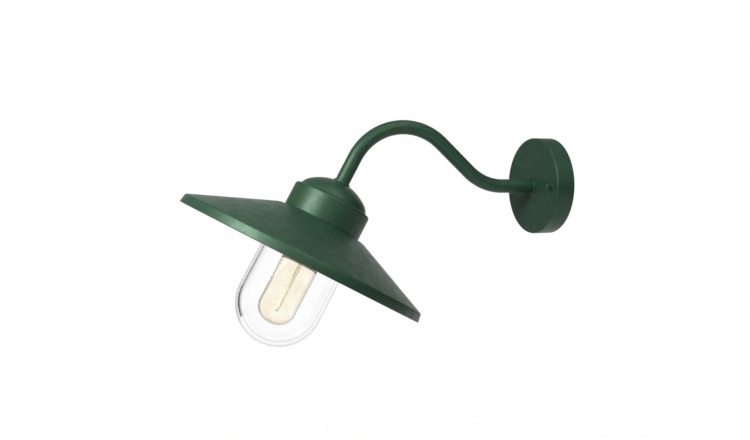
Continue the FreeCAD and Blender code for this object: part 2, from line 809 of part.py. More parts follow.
def shade():
    cone_end = shade_radius - shade_lip_flare
    slope = math.tan(math.radians(shade_slope))
    cone_end_depth = shade_top + (cone_end - shade_flat_radius) * slope
    sheet = turned_sheet([
        (shade_hole_radius, shade_top, 0), (shade_flat_radius, shade_top, shade_crown_round),
        (cone_end, cone_end_depth, shade_corner_round),
        (shade_radius, cone_end_depth + shade_lip_height, 0)], shade_sheet)
    holes = [rod(small_screw_radius + screw_gap, shade_top, shade_under, x, y) for x, y in gallery_screw_places()]
    return sheet.cut(holes)


def glass_gallery():
    ring = turned([
        (gallery_hole_radius, shade_under), (gallery_radius, shade_under, gallery_round),
        (gallery_radius, gallery_mouth, gallery_round / 2), (gallery_bore, gallery_mouth),
        (gallery_bore, gallery_inside), (gallery_hole_radius, gallery_inside)])
    holes = [rod(small_screw_radius + screw_gap, shade_under, gallery_inside, x, y)
             for x, y in gallery_screw_places()]
    return ring.cut(holes)


def gallery_screws():
    return Part.Compound([small_screw(x, y, gallery_inside, gallery_inside - gallery_screw_length)
                          for x, y in gallery_screw_places()])


def jar_gasket():
    inner = jar_neck_radius + jar_gasket_gap
    return tube(inner + jar_gasket_width, inner, gallery_mouth, jar_shoulder)


def glass_jar():
    neck_inside = jar_neck_radius - jar_neck_wall
    inside = jar_radius - jar_wall
    return turned([
        (neck_inside, jar_lip, jar_neck_wall / 3), (jar_neck_radius, jar_lip, jar_neck_wall / 3),
        (jar_neck_radius, jar_shoulder), (jar_radius, jar_shoulder, jar_shoulder_round),
        (jar_radius, jar_end, jar_radius), (0, jar_end), (0, jar_end - jar_wall),
        (inside, jar_end - jar_wall, inside), (inside, jar_shoulder + jar_wall, jar_shoulder_round),
        (neck_inside, jar_shoulder, jar_shoulder_round)])


def lampholder_bracket():
    strip = slab(holder_bracket_length, holder_bracket_width, holder_bracket_depth, holder_top)
    upright = [e for e in strip.Edges if abs(e.tangentAt(e.FirstParameter).z) > 0.9]
    strip = strip.makeFillet(holder_bracket_width / 4, upright)
    cuts = [rod(small_screw_radius + screw_gap, holder_bracket_depth, holder_top, x)
            for x in holder_screw_places()]
    cuts += [rod(holder_screw_radius + screw_gap, holder_bracket_depth, holder_top, side * holder_screw_spacing / 2)
             for side in (-1, 1)]
    return strip.cut(cuts)


def lampholder_bracket_screws():
    return Part.Compound([small_screw(x, 0, holder_top, holder_top - holder_bracket_screw_length)
                          for x in holder_screw_places()])


def lampholder_screws():
    return Part.Compound([
        screw(side * holder_screw_spacing / 2, 0, holder_bracket_depth, holder_bracket_depth + holder_screw_length,
              holder_screw_radius, holder_screw_head_radius, small_screw_head_height) for side in (-1, 1)])


# Middle line of the sprung tongue, from the live terminal's floor down to the bulb's contact, as (y, depth)
def tongue_line():
    level = bulb_top - contact_cavity_depth + tongue_width / 3
    contact = bulb_top - tongue_gap - tongue_thickness
    return [(holder_wire_circle, holder_floor), (holder_wire_circle, level), (-tongue_foot, level),
            (-tongue_back, (level + contact - tongue_toe) / 2), (-tongue_toe, contact), (tongue_tip, contact)]


def lampholder_body():
    body = turned([
        (0, holder_top), (holder_base_radius, holder_top, holder_round),
        (holder_base_radius, holder_floor), (holder_radius, holder_floor + holder_round),
        (holder_radius, holder_mouth, holder_round), (0, holder_mouth)])
    socket_bore = socket_inside + socket_wall + seat_gap
    cuts = [rod(socket_bore, socket_start, holder_mouth)]
    cuts.append(rod(contact_cavity_radius, bulb_top - contact_cavity_depth, socket_start))
    for side in (-1, 1):
        depth_of_recess = holder_base_radius - holder_recess_inner + cut_spare
        recess_y = side * (holder_recess_inner + depth_of_recess / 2)
        cuts.append(slab(holder_recess_width, depth_of_recess, holder_top, holder_floor, 0, recess_y))
        screw_hole_end = holder_bracket_depth + holder_screw_length + holder_screw_spare
        cuts.append(rod(holder_screw_radius + screw_gap, holder_top, screw_hole_end, side * holder_screw_spacing / 2))
    live_slot = 2 * tongue_thickness
    level = tongue_line()[1][1]
    slot_width = tongue_width + live_slot
    cuts.append(slab(slot_width, live_slot, holder_floor, level + live_slot / 2, 0, holder_wire_circle))
    reach = holder_wire_circle + live_slot / 2
    cuts.append(slab(slot_width, reach, level - live_slot / 2, level + live_slot / 2, 0, reach / 2))
    neutral_slot = socket_wall + 2 * seat_gap
    cuts.append(slab(slot_width, neutral_slot, holder_floor, socket_start, 0, -socket_inside - socket_wall / 2))
    return body.cut(cuts).removeSplitter()


def lampholder_socket():
    sleeve = tube(socket_inside + socket_wall, socket_inside, socket_start, socket_end)
    tab = slab(tongue_width, socket_wall, holder_floor, socket_start, 0, -socket_inside - socket_wall / 2)
    sleeve_band = tube(socket_inside + socket_wall, socket_inside, holder_floor, socket_start + join_overlap)
    return sleeve.fuse(tab.common(sleeve_band)).removeSplitter()


def lampholder_tongue():
    near = [V(0, y, -depth) for y, depth in tongue_line()]
    bends = [tongue_thickness * 2] * (len(near) - 2)
    spine = Part.Wire(rounded_edges(near, bends))
    band = spine.makeOffset2D(tongue_thickness / 2, 0, True, True, False)
    other = spine.makeOffset2D(-tongue_thickness / 2, 0, True, True, False)
    strip = band.fuse(other).removeSplitter().extrude(V(tongue_width, 0, 0))
    strip.translate(V(-tongue_width / 2, 0, 0))
    return strip


def lampholder_terminals():
    top = holder_floor - holder_terminal_height
    middle = (holder_terminal_inner + holder_terminal_outer) / 2
    width = holder_terminal_outer - holder_terminal_inner
    terminals = []
    for side in (-1, 1):
        block = slab(holder_terminal_width, width, top, holder_floor, 0, side * middle)
        wire_hole = rod(wire_hole_radius, top, holder_floor - holder_terminal_web, 0, side * holder_wire_circle)
        screw_hole = Part.makeCylinder(clamp_screw_radius + screw_gap, width,
                                       V(0, side * holder_wire_circle, -clamp_depth()), V(0, side, 0))
        terminals.append(block.cut([wire_hole, screw_hole]))
    return Part.Compound(terminals)


def clamp_depth():
    return holder_floor - holder_terminal_height / 2 - holder_clamp_rise


def lampholder_clamp_screws():
    return Part.Compound([
        side_screw(side, clamp_depth(), holder_wire_circle + core_radius + seat_gap, holder_terminal_outer)
        for side in (-1, 1)])


def bulb_glass_envelope():
    inner_neck = bulb_neck_radius - bulb_glass
    inside = bulb_radius - bulb_glass
    shoulder = cap_end + bulb_glass / 2
    end = bulb_end - bulb_glass
    return turned([
        (inner_neck, stem_top), (bulb_neck_radius, stem_top), (bulb_neck_radius, shoulder, bulb_glass),
        (bulb_radius, shoulder, bulb_shoulder_round), (bulb_radius, bulb_end, bulb_end_round), (0, bulb_end),
        (0, end), (inside, end, bulb_end_round - bulb_glass),
        (inside, shoulder + bulb_glass, bulb_shoulder_round - bulb_glass),
        (inner_neck, shoulder + bulb_glass, 2 * bulb_glass)])


def bulb_cap():
    shell_top = bulb_top + cap_insulator_height
    skirt = cap_end - cap_skirt_length
    flare = cap_skirt_radius - cap_radius
    return turned_sheet([
        (cap_skirt_radius, cap_end, 0), (cap_skirt_radius, skirt, 0), (cap_radius, skirt - flare, 0),
        (cap_radius, shell_top + cap_crown, 0), (cap_insulator_radius, shell_top, 0)], cap_sheet)


def bulb_cap_insulator():
    shell_top = bulb_top + cap_insulator_height
    face = bulb_top + bulb_contact_thickness / 3
    return turned([
        (bulb_contact_radius, face), (bulb_contact_radius + cap_insulator_land, face),
        (cap_insulator_radius, shell_top), (cap_insulator_radius, shell_top + cap_insulator_lip),
        (0, shell_top + cap_insulator_lip), (0, bulb_top + bulb_contact_thickness),
        (bulb_contact_radius, bulb_top + bulb_contact_thickness)])


def bulb_contact():
    below = bulb_top + bulb_contact_thickness
    return turned([(0, bulb_top), (bulb_contact_radius, bulb_top, bulb_contact_thickness / 3),
                   (bulb_contact_radius, below), (0, below)])


def bulb_stem():
    return turned([
        (0, stem_top + stem_flare_dish), (stem_flare_radius - stem_flare_lip, stem_top),
        (stem_flare_radius, stem_top), (stem_radius, stem_top + stem_flare_depth, stem_flare_round),
        (stem_radius, stem_end, stem_tip_round), (0, stem_end)])


# Hairpin filament, its legs side by side along the lamp's axis
def bulb_filament():
    half = filament_spacing / 2
    below = filament_top + filament_length
    legs_end = below - half
    start, turn, end = V(-half, 0, -legs_end), V(0, 0, -below), V(half, 0, -legs_end)
    edges = [Part.LineSegment(V(-half, 0, -filament_top), start).toShape(), Part.Arc(start, turn, end).toShape(),
             Part.LineSegment(end, V(half, 0, -filament_top)).toShape()]
    return swept(edges, filament_radius)


def bulb_lead_wires():
    half = filament_spacing / 2
    return Part.Compound([rod(lead_radius, stem_end, filament_top, x) for x in (-half, half)])


# Support wire beside the filament, hooked under its bend
def bulb_support_wire():
    below = filament_top + filament_length + filament_radius + 2 * lead_radius
    points = [V(0, support_offset, -stem_end), V(0, support_offset, -below), V(0, -support_offset / 2, -below)]
    return swept(rounded_edges(points, [support_bend]), lead_radius)


wall_pieces = {
    "canopy": canopy,
    "canopy_gasket": canopy_gasket,
    "wall_bracket": wall_bracket,
    "bracket_studs": bracket_studs,
    "canopy_cap_nuts": canopy_cap_nuts,
    "canopy_collar": lambda: arm_collar(canopy_depth, 1),
    "canopy_arm_washer": lambda: arm_washer(canopy_face_inside - arm_washer_thickness),
    "canopy_arm_nut": lambda: arm_nut(canopy_face_inside - arm_washer_thickness - arm_nut_thickness),
    "terminal_block": terminal_block,
    "terminal_inserts": terminal_inserts,
    "terminal_clamp_screws": terminal_clamp_screws,
    "terminal_block_screws": terminal_block_screws,
    "canopy_earth_screw": canopy_earth_screw,
    "canopy_earth_lead": canopy_earth_lead,
}

lamp_pieces = {
    "hood_collar": lambda: arm_collar(0, -1),
    "hood": hood,
    "hood_arm_washer": lambda: arm_washer(arm_boss_depth),
    "hood_arm_nut": lambda: arm_nut(arm_boss_depth + arm_washer_thickness),
    "hood_gasket": hood_gasket,
    "hood_earth_screw": hood_earth_screw,
    "shade": shade,
    "glass_gallery": glass_gallery,
    "gallery_screws": gallery_screws,
    "jar_gasket": jar_gasket,
    "glass_jar": glass_jar,
    "lampholder_bracket": lampholder_bracket,
    "lampholder_bracket_screws": lampholder_bracket_screws,
    "lampholder_screws": lampholder_screws,
    "lampholder_body": lampholder_body,
    "lampholder_socket": lampholder_socket,
    "lampholder_tongue": lampholder_tongue,
    "lampholder_terminals": lampholder_terminals,
    "lampholder_clamp_screws": lampholder_clamp_screws,
    "bulb_envelope": bulb_glass_envelope,
    "bulb_cap": bulb_cap,
    "bulb_cap_insulator": bulb_cap_insulator,
    "bulb_contact": bulb_contact,
    "bulb_stem": bulb_stem,
    "bulb_filament": bulb_filament,
    "bulb_lead_wires": bulb_lead_wires,
    "bulb_support_wire": bulb_support_wire,
}

shared_pieces = {
    "arm_tube": arm_tube,
    "arm_cable": arm_cable,
    "arm_grommets": lambda: Part.Compound([
        at_wall(arm_grommet(arm_end_in_canopy, -1)), at_lamp(arm_grommet(arm_end_in_hood, 1))]),
    "live_cores": live_cores,
    "neutral_cores": neutral_cores,
    "earth_cores": earth_cores,
    "earth_ring_lugs": earth_ring_lugs,
}

os.makedirs("parts", exist_ok=True)
for pieces, place in ((wall_pieces, at_wall), (lamp_pieces, at_lamp), (shared_pieces, lambda shape: shape)):
    for name, make in pieces.items():
        place(make()).exportStep("parts/%s.step" % name)
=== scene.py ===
import bpy
import json
import math
import numpy as np
from mathutils import Matrix, Vector


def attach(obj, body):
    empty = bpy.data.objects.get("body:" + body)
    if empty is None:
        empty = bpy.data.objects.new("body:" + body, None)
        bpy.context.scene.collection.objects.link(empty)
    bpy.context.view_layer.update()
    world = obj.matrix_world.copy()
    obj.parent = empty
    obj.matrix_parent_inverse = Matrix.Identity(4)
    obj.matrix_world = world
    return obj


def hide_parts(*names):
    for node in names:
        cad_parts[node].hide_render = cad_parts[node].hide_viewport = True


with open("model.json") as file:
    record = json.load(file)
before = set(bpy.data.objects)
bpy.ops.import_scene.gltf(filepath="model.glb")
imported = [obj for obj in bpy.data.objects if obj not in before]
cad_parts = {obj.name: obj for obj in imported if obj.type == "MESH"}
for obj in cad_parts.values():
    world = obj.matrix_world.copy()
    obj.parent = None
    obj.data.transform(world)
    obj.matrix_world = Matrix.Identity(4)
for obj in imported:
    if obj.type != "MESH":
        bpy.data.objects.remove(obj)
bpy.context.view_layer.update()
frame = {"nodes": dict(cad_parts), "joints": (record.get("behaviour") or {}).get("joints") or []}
nodes = frame["nodes"]
print("frame loaded:", len(nodes), "nodes")

# The lamp's own axis and the centre of the hood's top, as the jar's hinge has them
jarHinge = [j for j in frame["joints"] if j["name"] == "jar_unscrew"][0]
lampTop = np.array(jarHinge["pos_m"], float)
lampDown = np.array(jarHinge["axis"], float)
lampRight = np.array([1.0, 0.0, 0.0])
lampBack = np.cross(lampDown, lampRight)
millimetre = 0.001


# Points along straight runs with round corners, given as (across, along, bend) in millimetres. An
# arc's point is centre + (sin((1 - t) turn) * first + sin(t turn) * last) / sin(turn), with t from
# 0 to 1 between the arc's two ends
def bentLine(corners, arcSteps=9, stepsPerLength=1.2, samePoint=1e-4):
    spots = np.array([c[:2] for c in corners], float)
    bends = [c[2] if len(c) > 2 else 0 for c in corners]
    rows = [spots[:1]]
    for i in range(1, len(spots) - 1):
        before = (spots[i - 1] - spots[i]) / np.linalg.norm(spots[i - 1] - spots[i])
        after = (spots[i + 1] - spots[i]) / np.linalg.norm(spots[i + 1] - spots[i])
        half = math.acos(np.clip(before @ after, -1, 1)) / 2
        if bends[i] <= 0:
            rows.append(spots[i:i + 1])
            continue
        middle = (before + after) / np.linalg.norm(before + after)
        centre = spots[i] + middle * bends[i] / math.sin(half)
        reach = bends[i] / math.tan(half)
        first = spots[i] + before * reach - centre
        last = spots[i] + after * reach - centre
        turn = math.pi - 2 * half
        steps = max(arcSteps, int(bends[i] * turn * stepsPerLength))
        t = np.linspace(0, 1, steps)[:, None]
        arc = (np.sin((1 - t) * turn) * first + np.sin(t * turn) * last) / math.sin(turn)
        rows.append(centre + arc)
    rows.append(spots[-1:])
    line = np.vstack(rows)
    apart = np.r_[True, np.linalg.norm(np.diff(line, axis=0), axis=1) > samePoint]
    return line[apart]


# Both sides of a sheet about its middle line: line + normal * half the thickness, out along one
# side and back along the other, with a half round at each end
def sheetLoop(line, thickness, endSteps=6):
    along = np.gradient(line, axis=0)
    along /= np.linalg.norm(along, axis=1)[:, None]
    across = np.c_[along[:, 1], -along[:, 0]]
    half = thickness / 2
    angles = np.linspace(0, math.pi, endSteps + 2)[1:-1, None]
    firstEnd = line[0] + half * (-np.cos(angles) * across[0] - np.sin(angles) * along[0])
    lastEnd = line[-1] + half * (np.cos(angles) * across[-1] + np.sin(angles) * along[-1])
    return np.vstack([line + half * across, lastEnd, (line - half * across)[::-1], firstEnd])


# A mesh from a grid of points, rows by columns. Columns close on themselves. Rows close on
# themselves too, or end in poles, where a whole row is one point. Faces are turned outwards by the
# sign of the enclosed volume, which is the sum of a . (b x c) / 6 over the triangles
def gridMesh(name, grid, closedRows, sharpAngle=35, onePoint=1e-9):
    rowCount, columnCount = grid.shape[:2]
    index = np.arange(rowCount * columnCount).reshape(rowCount, columnCount)
    poles = np.abs(grid - grid[:, :1]).max(axis=(1, 2)) < onePoint
    index[poles] = index[poles, :1]
    following = np.roll(index, -1, axis=0) if closedRows else index[1:]
    here = index if closedRows else index[:-1]
    corners = [here, np.roll(here, -1, axis=1), np.roll(following, -1, axis=1), following]
    quads = np.stack(corners, axis=-1).reshape(-1, 4)
    points = grid.reshape(-1, 3)
    a, b, c, d = (points[quads[:, k]] for k in range(4))
    volume = np.einsum("ij,ij->", a, np.cross(b, c)) + np.einsum("ij,ij->", a, np.cross(c, d))
    if volume < 0:
        quads = quads[:, ::-1]
    used, renumbered = np.unique(quads, return_inverse=True)
    quads = renumbered.reshape(-1, 4)
    topPole = quads[:, 0] == quads[:, 1]
    lowPole = quads[:, 2] == quads[:, 3]
    faces = quads[~topPole & ~lowPole].tolist() + quads[topPole][:, 1:].tolist()
    faces += quads[lowPole & ~topPole][:, :3].tolist()
    mesh = bpy.data.meshes.new(name)
    mesh.from_pydata(points[used].tolist(), [], faces)
    mesh.update()
    mesh.polygons.foreach_set("use_smooth", np.ones(len(mesh.polygons), bool))
    mesh.set_sharp_from_angle(angle=math.radians(sharpAngle))
    piece = bpy.data.objects.new(name, mesh)
    bpy.context.scene.collection.objects.link(piece)
    return piece


# A turned piece: point = lamp's top + depth * down + radius * ring, with ring = cos(angle) * right +
# sin(angle) * back
def turned(name, profile, steps, closed):
    angles = np.linspace(0, 2 * math.pi, steps, endpoint=False)
    ring = np.cos(angles)[:, None] * lampRight + np.sin(angles)[:, None] * lampBack
    radius, depth = profile.T * millimetre
    grid = lampTop + depth[:, None, None] * lampDown + radius[:, None, None] * ring
    return gridMesh(name, grid, closed)


# Unit rings about a line that lies in one plane: cos(angle) * side + sin(angle) * normal, with
# side = along x normal
def ringsAlong(line, normal, sides):
    along = np.gradient(line, axis=0)
    along /= np.linalg.norm(along, axis=1)[:, None]
    side = np.cross(along, normal)
    angles = np.linspace(0, 2 * math.pi, sides, endpoint=False)
    return np.cos(angles)[None, :, None] * side[:, None] + np.sin(angles)[None, :, None] * normal


# A point of the lamp from millimetres across, back and down
def atLamp(right, back, down):
    right, back, down = (np.asarray(v, float)[..., None] * millimetre for v in (right, back, down))
    return lampTop + right * lampRight + back * lampBack + down * lampDown


def groupWith(name, inputs, outputs):
    group = bpy.data.node_groups.new(name, "ShaderNodeTree")
    for label, start in inputs:
        socket = group.interface.new_socket(label, in_out="INPUT", socket_type="NodeSocketFloat")
        socket.default_value = start
    for label in outputs:
        group.interface.new_socket(label, in_out="OUTPUT", socket_type="NodeSocketFloat")
    return group, group.nodes.new("NodeGroupInput"), group.nodes.new("NodeGroupOutput")


def addNoise(tree, coordinates, scale, detail, roughness=0.5):
    noise = tree.nodes.new("ShaderNodeTexNoise")
    noise.inputs["Detail"].default_value = detail
    noise.inputs["Roughness"].default_value = roughness
    tree.links.new(coordinates, noise.inputs["Vector"])
    if hasattr(scale, "is_output"):
        tree.links.new(scale, noise.inputs["Scale"])
    else:
        noise.inputs["Scale"].default_value = scale
    return noise.outputs["Fac"]


def addRange(tree, value, low, high, newLow=0.0, newHigh=1.0):
    remap = tree.nodes.new("ShaderNodeMapRange")
    remap.inputs["From Min"].default_value = low
    remap.inputs["From Max"].default_value = high
    remap.inputs["To Min"].default_value = newLow
    remap.inputs["To Max"].default_value = newHigh
    tree.links.new(value, remap.inputs["Value"])
    return remap.outputs["Result"]


def addMath(tree, operation, first, second):
    node = tree.nodes.new("ShaderNodeMath")
    node.operation = operation
    for socket, value in zip(node.inputs, (first, second)):
        if hasattr(value, "is_output"):
            tree.links.new(value, socket)
        else:
            socket.default_value = value
    return node.outputs[0]


grainLook = dict(grainDetail=2.0, grainRange=(0.32, 0.68), waveDetail=3.0, waveRange=(0.35, 0.65),
                 waveHeight=0.12)


# Orange-peel skin of a sprayed or moulded surface: fine grains on broad soft waves
def buildGrain(look):
    group, given, out = groupWith("surfaceGrain", [("Grain scale", 900.0), ("Wave scale", 30.0)],
                                  ["Grain", "Wave", "Height"])
    place = group.nodes.new("ShaderNodeTexCoord").outputs["Object"]
    grain = addNoise(group, place, given.outputs["Grain scale"], look["grainDetail"])
    grain = addRange(group, grain, *look["grainRange"])
    wave = addNoise(group, place, given.outputs["Wave scale"], look["waveDetail"])
    wave = addRange(group, wave, *look["waveRange"])
    height = addMath(group, "ADD", grain, addMath(group, "MULTIPLY", wave, look["waveHeight"]))
    group.links.new(grain, out.inputs["Grain"])
    group.links.new(wave, out.inputs["Wave"])
    group.links.new(height, out.inputs["Height"])
    return group


brushLook = dict(stretch=(1.0, 14.0, 14.0), lineDetail=6.0, lineRoughness=0.7, lineRange=(0.3, 0.7),
                 patchScale=45.0, patchDetail=4.0, patchRange=(0.38, 0.62))


# Fine turned or drawn lines: noise stretched along one direction, with broad dull patches
def buildBrushing(look):
    group, given, out = groupWith("brushedLines", [("Line scale", 60.0)], ["Lines", "Patches"])
    place = group.nodes.new("ShaderNodeTexCoord").outputs["Object"]
    stretch = group.nodes.new("ShaderNodeMapping")
    stretch.inputs["Scale"].default_value = look["stretch"]
    group.links.new(place, stretch.inputs["Vector"])
    lines = addNoise(group, stretch.outputs["Vector"], given.outputs["Line scale"],
                     look["lineDetail"], look["lineRoughness"])
    patches = addNoise(group, place, look["patchScale"], look["patchDetail"])
    group.links.new(addRange(group, lines, *look["lineRange"]), out.inputs["Lines"])
    group.links.new(addRange(group, patches, *look["patchRange"]), out.inputs["Patches"])
    return group


surfaceGrain = buildGrain(grainLook)
brushedLines = buildBrushing(brushLook)


def newMaterial(name):
    material = bpy.data.materials.new(name)
    material.use_nodes = True
    return material, material.node_tree, material.node_tree.nodes["Principled BSDF"]


def addGroup(tree, group, values):
    node = tree.nodes.new("ShaderNodeGroup")
    node.node_tree = group
    for label, value in values.items():
        node.inputs[label].default_value = value
    return node.outputs


def mixColours(tree, factor, first, second):
    mix = tree.nodes.new("ShaderNodeMix")
    mix.data_type = "RGBA"
    tree.links.new(factor, mix.inputs["Factor"])
    for socket, colour in ((mix.inputs[6], first), (mix.inputs[7], second)):
        if hasattr(colour, "is_output"):
            tree.links.new(colour, socket)
        else:
            socket.default_value = (*colour, 1.0)
    return mix.outputs[2]


def addBump(tree, height, distance, strength, shader):
    bump = tree.nodes.new("ShaderNodeBump")
    bump.inputs["Distance"].default_value = distance
    bump.inputs["Strength"].default_value = strength
    tree.links.new(height, bump.inputs["Height"])
    tree.links.new(bump.outputs["Normal"], shader.inputs["Normal"])


# A painted, moulded or fired surface: grains lighten it, and waves shift its colour and gloss
def skinFinish(name, look):
    material, tree, shader = newMaterial(name)
    skin = addGroup(tree, surfaceGrain,
                    {"Grain scale": look["grainScale"], "Wave scale": look["waveScale"]})
    base = mixColours(tree, skin["Grain"], look["darkColour"], look["lightColour"])
    if "waveColour" in look:
        base = mixColours(tree, skin["Wave"], base, look["waveColour"])
    if "insideColour" in look:
        inside = tree.nodes.new("ShaderNodeAttribute")
        inside.attribute_name = "inside"
        base = mixColours(tree, inside.outputs["Fac"], base, look["insideColour"])
    roughness = addRange(tree, skin["Wave"], 0, 1, *look["roughness"])
    tree.links.new(base, shader.inputs["Base Color"])
    tree.links.new(roughness, shader.inputs["Roughness"])
    addBump(tree, skin["Height"], look["bump"], look.get("bumpStrength", 0.5), shader)
    shader.inputs["Specular IOR Level"].default_value = look.get("gloss", 0.5)
    shader.inputs["Specular Tint"].default_value = (*look.get("sheen", (1, 1, 1)), 1)
    shader.inputs["Coat Weight"].default_value = look.get("coat", 0.0)
    shader.inputs["Coat Roughness"].default_value = look.get("coatRoughness", 0.2)
    shader.inputs["Subsurface Weight"].default_value = look.get("softness", 0.0)
    shader.inputs["Subsurface Scale"].default_value = look.get("softDepth", 0.002)
    return material


# Plated, drawn or stamped metal
def metalFinish(name, look):
    material, tree, shader = newMaterial(name)
    brushed = addGroup(tree, brushedLines, {"Line scale": look["lineScale"]})
    base = mixColours(tree, brushed["Patches"], look["darkColour"], look["lightColour"])
    roughness = addRange(tree, brushed["Lines"], 0, 1, *look["roughness"])
    tree.links.new(base, shader.inputs["Base Color"])
    tree.links.new(roughness, shader.inputs["Roughness"])
    addBump(tree, brushed["Lines"], look["bump"], look.get("bumpStrength", 0.4), shader)
    shader.inputs["Metallic"].default_value = 1.0
    return material


# Clear glass: faint ripples from the mould, a slight tint, and painted shade: a darker edge where
# the view runs along the wall. It lets most light through to what it encloses
def glassFinish(name, look):
    material, tree, shader = newMaterial(name)
    skin = addGroup(tree, surfaceGrain,
                    {"Grain scale": look["grainScale"], "Wave scale": look["waveScale"]})
    tint = mixColours(tree, skin["Wave"], look["darkColour"], look["lightColour"])
    weight = tree.nodes.new("ShaderNodeLayerWeight")
    # Painted shade: where the view grazes the wall, the base colour turns towards the dark edge
    # colour
    edgeShadeMask = addRange(tree, weight.outputs["Facing"], look["edgeShadeStart"], 1.0)
    roughness = addRange(tree, skin["Grain"], 0, 1, *look["roughness"])
    path = tree.nodes.new("ShaderNodeLightPath")
    solid = addRange(tree, path.outputs["Is Shadow Ray"], 0, 1, 1.0, look["shadow"])
    tree.links.new(mixColours(tree, edgeShadeMask, tint, look["edgeShadeColour"]), shader.inputs["Base Color"])
    tree.links.new(roughness, shader.inputs["Roughness"])
    tree.links.new(solid, shader.inputs["Alpha"])
    addBump(tree, skin["Wave"], look["bump"], look.get("bumpStrength", 0.3), shader)
    shader.inputs["Specular Tint"].default_value = (look["gloss"],) * 3 + (1,)
    shader.inputs["Transmission Weight"].default_value = 1.0
    shader.inputs["IOR"].default_value = look["index"]
    return material


greenPaint = dict(darkColour=(0.013, 0.042, 0.023), lightColour=(0.029, 0.073, 0.044),
                  waveColour=(0.016, 0.048, 0.027), grainScale=900.0, waveScale=95.0,
                  roughness=(0.40, 0.48), bump=0.00008, bumpStrength=0.40, gloss=0.50,
                  sheen=(0.68, 1.0, 0.73))
finishes = {
    "green_paint": skinFinish("mossGreenPaint", greenPaint),
    "zinc_steel": metalFinish("zincPlatedSteel", dict(
        darkColour=(0.50, 0.51, 0.50), lightColour=(0.66, 0.66, 0.64), lineScale=70.0,
        roughness=(0.24, 0.42), bump=0.00004)),
    "brass": metalFinish("drawnBrass", dict(
        darkColour=(0.56, 0.40, 0.17), lightColour=(0.74, 0.57, 0.28), lineScale=90.0,
        roughness=(0.22, 0.40), bump=0.00004)),
    "nickel_wire": metalFinish("nickelWire", dict(
        darkColour=(0.30, 0.28, 0.25), lightColour=(0.46, 0.44, 0.40), lineScale=160.0,
        roughness=(0.30, 0.45), bump=0.00002)),
    "black_rubber": skinFinish("blackRubber", dict(
        darkColour=(0.012, 0.012, 0.012), lightColour=(0.028, 0.028, 0.027), grainScale=1100.0,
        waveScale=60.0, roughness=(0.66, 0.82), bump=0.00006)),
    "silicone": skinFinish("milkySilicone", dict(
        darkColour=(0.62, 0.61, 0.57), lightColour=(0.76, 0.75, 0.71), grainScale=700.0,
        waveScale=50.0, roughness=(0.40, 0.55), bump=0.00004, softness=0.4)),
    "porcelain": skinFinish("glazedPorcelain", dict(
        darkColour=(0.70, 0.68, 0.62), lightColour=(0.80, 0.78, 0.73), grainScale=260.0,
        waveScale=24.0, roughness=(0.12, 0.24), bump=0.00003, coat=0.5, coatRoughness=0.08)),
    "black_glass": skinFinish("blackGlass", dict(
        darkColour=(0.010, 0.010, 0.012), lightColour=(0.020, 0.020, 0.023), grainScale=500.0,
        waveScale=50.0, roughness=(0.08, 0.18), bump=0.00002)),
    "white_plastic": skinFinish("milkyNylon", dict(
        darkColour=(0.66, 0.66, 0.61), lightColour=(0.76, 0.76, 0.71), grainScale=900.0,
        waveScale=60.0, roughness=(0.40, 0.56), bump=0.00005, softness=0.2)),
    "cable_sheath": skinFinish("greySheath", dict(
        darkColour=(0.36, 0.36, 0.35), lightColour=(0.46, 0.46, 0.45), grainScale=800.0,
        waveScale=70.0, roughness=(0.46, 0.60), bump=0.00005)),
    "brown_insulation": skinFinish("brownInsulation", dict(
        darkColour=(0.085, 0.030, 0.012), lightColour=(0.125, 0.048, 0.020), grainScale=900.0,
        waveScale=90.0, roughness=(0.36, 0.50), bump=0.00003)),
    "blue_insulation": skinFinish("blueInsulation", dict(
        darkColour=(0.014, 0.060, 0.260), lightColour=(0.030, 0.095, 0.350), grainScale=900.0,
        waveScale=90.0, roughness=(0.36, 0.50), bump=0.00003)),
    "filament": skinFinish("yellowFilament", dict(
        darkColour=(0.88, 0.78, 0.50), lightColour=(0.96, 0.90, 0.70), grainScale=2400.0,
        waveScale=300.0, roughness=(0.55, 0.75), bump=0.00008)),
    # The glasses' dark edge colours are painted shade, outlines where the view runs along the wall
    "clear_glass": glassFinish("clearPressedGlass", dict(
        darkColour=(0.985, 0.988, 0.986), lightColour=(0.998, 0.999, 0.998), grainScale=160.0,
        waveScale=24.0, roughness=(0.0, 0.010), bump=0.00002, index=1.47, shadow=0.06, gloss=0.10,
        edgeShadeStart=0.66, edgeShadeColour=(0.05, 0.05, 0.055))),
    "bulb_glass": glassFinish("warmThinGlass", dict(
        darkColour=(0.975, 0.925, 0.815), lightColour=(1.0, 0.990, 0.940), grainScale=160.0,
        waveScale=65.0, roughness=(0.0, 0.008), bump=0.00002, index=1.34, shadow=0.05, gloss=0.10,
        edgeShadeStart=0.50, edgeShadeColour=(0.03, 0.028, 0.02))),
}
earthLook = dict(green=(0.030, 0.210, 0.040), yellow=(0.640, 0.540, 0.035), stripeScale=95.0,
                 waviness=0.6, stripeEdge=(0.44, 0.56), grainScale=900.0, waveScale=90.0,
                 roughness=(0.36, 0.50), bump=0.00003, bumpStrength=0.5)


# Earth insulation: green with yellow stripes that wind round each core, from a tilted wave
def earthFinish(name, look):
    material, tree, shader = newMaterial(name)
    stripes = tree.nodes.new("ShaderNodeTexWave")
    stripes.wave_type = "BANDS"
    stripes.bands_direction = "DIAGONAL"
    stripes.inputs["Scale"].default_value = look["stripeScale"]
    stripes.inputs["Distortion"].default_value = look["waviness"]
    place = tree.nodes.new("ShaderNodeTexCoord").outputs["Object"]
    tree.links.new(place, stripes.inputs["Vector"])
    skin = addGroup(tree, surfaceGrain,
                    {"Grain scale": look["grainScale"], "Wave scale": look["waveScale"]})
    band = addRange(tree, stripes.outputs["Fac"], *look["stripeEdge"])
    roughness = addRange(tree, skin["Wave"], 0, 1, *look["roughness"])
    base = mixColours(tree, band, look["green"], look["yellow"])
    tree.links.new(base, shader.inputs["Base Color"])
    tree.links.new(roughness, shader.inputs["Roughness"])
    addBump(tree, skin["Height"], look["bump"], look["bumpStrength"], shader)
    return material


